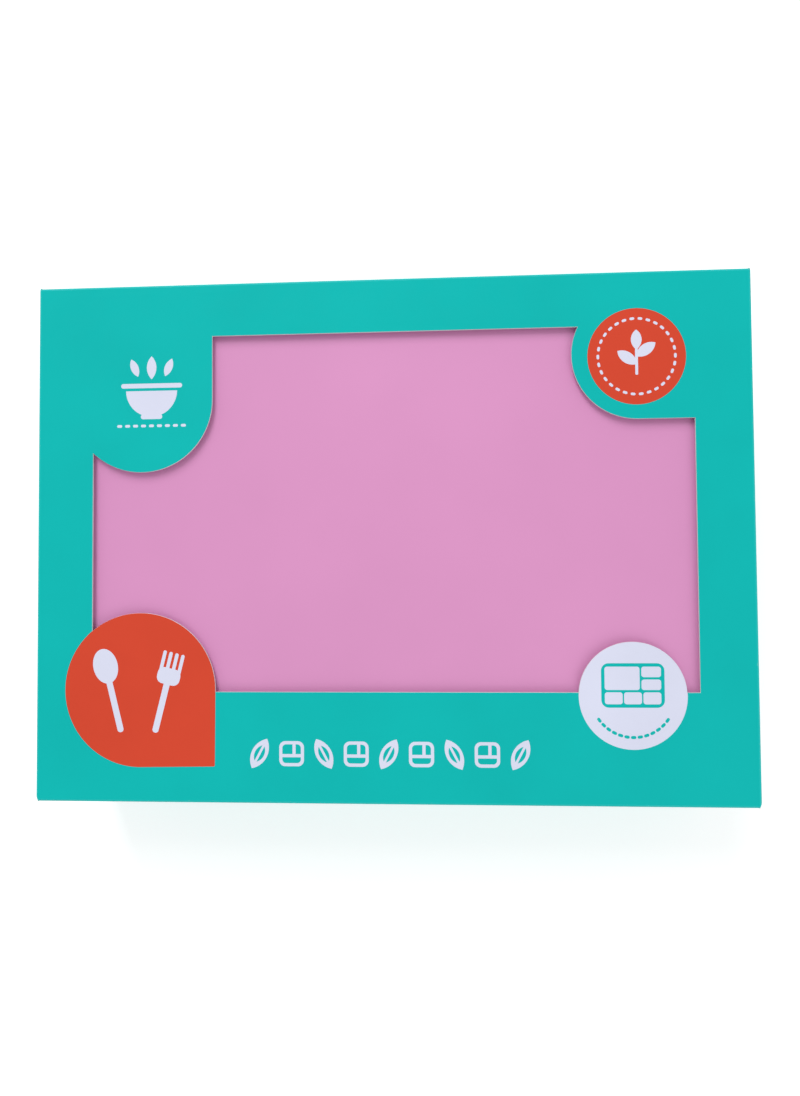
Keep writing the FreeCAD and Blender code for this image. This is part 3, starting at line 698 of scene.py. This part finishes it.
def latch_outline(inset, rise):
    """A latch's outline across its pin, drawn in by inset, with ridges that stand out by rise."""
    corners = [(HOOK_IN, LEAF_END, HOOK_ROUND), (LIP_OUT, LEAF_END, LIP_ROUND),
               (LIP_OUT, LIP_TOP, LIP_ROUND), (LEAF_OUT, LIP_TOP, INNER_ROUND)]
    for level in GRIP_LEVELS:
        turns = [math.pi * k / GRIP_STEPS for k in range(GRIP_STEPS + 1)]
        corners += [(LEAF_OUT + rise * math.sin(a), level - GRIP_HALF * math.cos(a), 0.0) for a in turns]
    corners.append((LEAF_OUT, -BARREL / 2, 0.0))
    meets_leaf = 360 - math.degrees(math.acos(LEAF_IN / BARREL))
    corners += [(x, y, 0.0) for x, y in arc(0, 0, BARREL, BARREL_START, meets_leaf, BARREL_STEPS)]
    corners += [(LEAF_IN, HOOK_TOP, INNER_ROUND), (HOOK_IN, HOOK_TOP, HOOK_ROUND)]
    points = [Vector(p) for p in rounded(corners)]
    drawn = []
    for before, at, after in zip(points[-1:] + points[:-1], points, points[1:] + points[:1]):
        ways = [(at - before).normalized(), (after - at).normalized()]
        inward = Vector((-ways[0].y - ways[1].y, ways[0].x + ways[1].x))
        drawn.append(tuple(at + inward * (2 * inset / inward.length_squared)))
    return drawn


def latch_stations(half):
    """Places along a latch, with how far its outline is drawn in there and how far its ridges stand out."""
    turns = [math.pi / 2 * k / END_STEPS for k in range(END_STEPS + 1)]
    one_end = [(half - END_ROUND * (1 - math.cos(a)), END_ROUND * (1 - math.sin(a)), 0.0) for a in turns]
    for k in range(RAMP_STEPS + 1):
        rise = GRIP_RISE * (1 - math.cos(math.pi * k / RAMP_STEPS)) / 2
        one_end.append((half - GRIP_SETBACK - GRIP_RAMP * k / RAMP_STEPS, 0.0, rise))
    return [(-s, inset, rise) for s, inset, rise in one_end] + one_end[::-1]


def latch(side, out):
    """One clip with a hooked lower edge, soft ends and a ridged grip; out is the way that it faces."""
    up = Vector((0.0, 0.0, 1.0))
    along = out.cross(up)
    low, high = (Vector(corner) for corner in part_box("latch_" + side))
    half = abs((high - low).dot(along)) / 2 / MM
    bore = ring(0, 0, BORE, BORE_STEPS)[::-1]
    skin = [(s, latch_outline(inset, rise)) for s, inset, rise in latch_stations(half)]
    bm = bmesh.new()
    for loops in (skin, [(-half, bore), (half, bore)]):
        rows = [[bm.verts.new((x * MM, y * MM, s * MM)) for x, y in outline] for s, outline in loops]
        for row, ahead in zip(rows, rows[1:]):
            for i in range(len(row)):
                bm.faces.new((row[i - 1], row[i], ahead[i], ahead[i - 1]))
    end = latch_outline(END_ROUND, 0.0)

    def cap_ink(point):
        return 0 if inside(point, end) and not inside(point, bore) else None

    for s in (-half, half):
        flat_face(bm, [end, bore], s, cap_ink, upward=s > 0)
    bmesh.ops.remove_doubles(bm, verts=bm.verts, dist=SEAM)
    low, high = (Vector(corner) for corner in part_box("latch_pin_" + side))
    turn = Matrix((out, up, along)).transposed().to_4x4()
    bm.transform(Matrix.Translation((low + high) / 2) @ turn)
    return shaded(bm, "latch_%s_moulded" % side)


def dress(piece, node, material, body):
    """Gives a moulded piece its finish and its place in the part."""
    piece.data.materials.append(material)
    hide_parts(node)
    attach(piece, body)


cover = folded_tray("carton_cover_sheet", CARTON_X, CARTON_Y, face_z=CARTON_Z, down=-1,
                    wall_end=CARTON_Z - SLIP_GAP, corners=(FRONT_CORNER, REAR_CORNER),
                    print_panel=window_panel)
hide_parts("cover_front_panel", "cover_wall_right", "cover_wall_left", "cover_wall_rear",
            "cover_wall_front", "cover_glue_tabs")
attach(cover, "carton_cover")

INSET = 2 * (BOARD + SLIP_GAP)
base = folded_tray("carton_base_sheet", CARTON_X - INSET, CARTON_Y - INSET, face_z=0.0, down=1,
                   wall_end=CARTON_Z - BOARD - RIM_GAP, corners=(REAR_CORNER, REAR_CORNER),
                   print_panel=plain_panel)
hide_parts("carton_bottom_panel", "carton_base_wall_right", "carton_base_wall_left",
            "carton_base_wall_rear", "carton_base_wall_front", "carton_base_glue_tabs")
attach(base, "carton_base")

dress(softened("box_base"), "box_base", pink_plastic, "lunch_box")
dress(softened("lid"), "lid", pink_plastic, "lid")
dress(softened("food_tray"), "food_tray", tray_plastic, "food_tray")
for side, facing in FACINGS.items():
    dress(latch(side, Vector(facing)), "latch_" + side, latch_plastic, side + "_latch")
KEPT = {"lid_gasket": gasket_rubber}
KEPT.update(("latch_pin_" + side, pin_steel) for side in FACINGS)
for node, material in KEPT.items():
    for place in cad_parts[node].material_slots:
        place.material = material


def seen_directly(tree):
    """1 for rays from the camera or from a mirror or glass, and 0 for the light that falls on things."""
    path = tree.nodes.new("ShaderNodeLightPath")
    share = path.outputs["Is Camera Ray"]
    for other in ("Is Glossy Ray", "Is Transmission Ray"):
        either = tree.nodes.new("ShaderNodeMath")
        either.operation = "MAXIMUM"
        tree.links.new(share, either.inputs[0])
        tree.links.new(path.outputs[other], either.inputs[1])
        share = either.outputs[0]
    return share


def floor(radius, drop, grey, lift):
    """A round white ground that keeps the object's shadow; lift is added where it is seen directly."""
    bpy.ops.mesh.primitive_circle_add(vertices=128, radius=radius, fill_type="NGON",
                                      location=(0.0, 0.0, -drop))
    ground = bpy.context.object
    ground.name = "studio_floor"
    material = bpy.data.materials.new("studio_floor")
    material.use_nodes = True
    tree = material.node_tree
    tree.nodes.clear()
    matt = tree.nodes.new("ShaderNodeBsdfDiffuse")
    matt.inputs["Color"].default_value = (grey, grey, grey, 1.0)
    level = tree.nodes.new("ShaderNodeMath")
    level.operation = "MULTIPLY"
    level.inputs[1].default_value = lift
    glow = tree.nodes.new("ShaderNodeEmission")
    both = tree.nodes.new("ShaderNodeAddShader")
    out = tree.nodes.new("ShaderNodeOutputMaterial")
    tree.links.new(seen_directly(tree), level.inputs[0])
    tree.links.new(level.outputs[0], glow.inputs["Strength"])
    tree.links.new(matt.outputs[0], both.inputs[0])
    tree.links.new(glow.outputs[0], both.inputs[1])
    tree.links.new(both.outputs[0], out.inputs["Surface"])
    ground.data.materials.append(material)


def room(side_light, top_light, side_up, top_up):
    """A white room that gives less light from straight above than from its sides.
    side_up and top_up are the upward parts of the directions between which the light changes."""
    world = bpy.data.worlds.new("studio")
    scene.world = world
    world.use_nodes = True
    tree = world.node_tree
    way = tree.nodes.new("ShaderNodeTexCoord")
    parts = tree.nodes.new("ShaderNodeSeparateXYZ")
    level = tree.nodes.new("ShaderNodeMapRange")
    for key, value in (("From Min", side_up), ("From Max", top_up),
                       ("To Min", side_light), ("To Max", top_light)):
        level.inputs[key].default_value = value
    white = tree.nodes.new("ShaderNodeMath")
    white.operation = "MAXIMUM"
    sky = tree.nodes["Background"]
    sky.inputs["Color"].default_value = (1.0, 1.0, 1.0, 1.0)
    tree.links.new(way.outputs["Generated"], parts.inputs["Vector"])
    tree.links.new(parts.outputs["Z"], level.inputs["Value"])
    tree.links.new(level.outputs["Result"], white.inputs[0])
    tree.links.new(seen_directly(tree), white.inputs[1])
    tree.links.new(white.outputs[0], sky.inputs["Strength"])


def lamp(name, place, width, length, watts):
    """A soft lamp turned towards the object."""
    target = Vector((0.0, 0.0, 0.05))
    data = bpy.data.lights.new(name, "AREA")
    data.shape = "RECTANGLE"
    data.size, data.size_y = width, length
    data.energy = watts
    made = bpy.data.objects.new(name, data)
    made.location = place
    made.rotation_euler = (target - Vector(place)).to_track_quat("-Z", "Y").to_euler()
    scene.collection.objects.link(made)


def camera(place, degrees, lens):
    """The photograph's view, nearly straight down on the front panel."""
    data = bpy.data.cameras.new("view_camera")
    data.sensor_fit = "AUTO"
    data.sensor_width = 36.0
    data.lens = lens
    data.clip_start = 0.01
    made = bpy.data.objects.new("view_camera", data)
    made.location = place
    made.rotation_euler = [math.radians(a) for a in degrees]
    scene.collection.objects.link(made)
    scene.camera = made


floor(radius=2.0, drop=0.0002, grey=0.76, lift=0.50)
room(side_light=0.78, top_light=0.50, side_up=0.15, top_up=0.60)
lamp("key_lamp", place=(-0.35, 1.15, 1.25), width=0.50, length=1.10, watts=13.4)
lamp("fill_lamp", place=(0.7, -1.1, 1.1), width=1.0, length=1.0, watts=4.5)
camera(place=(0.02210, -0.01273, 0.34503), degrees=(1.842, 3.507, -0.414), lens=26.277)
scene.view_settings.view_transform = "Standard"
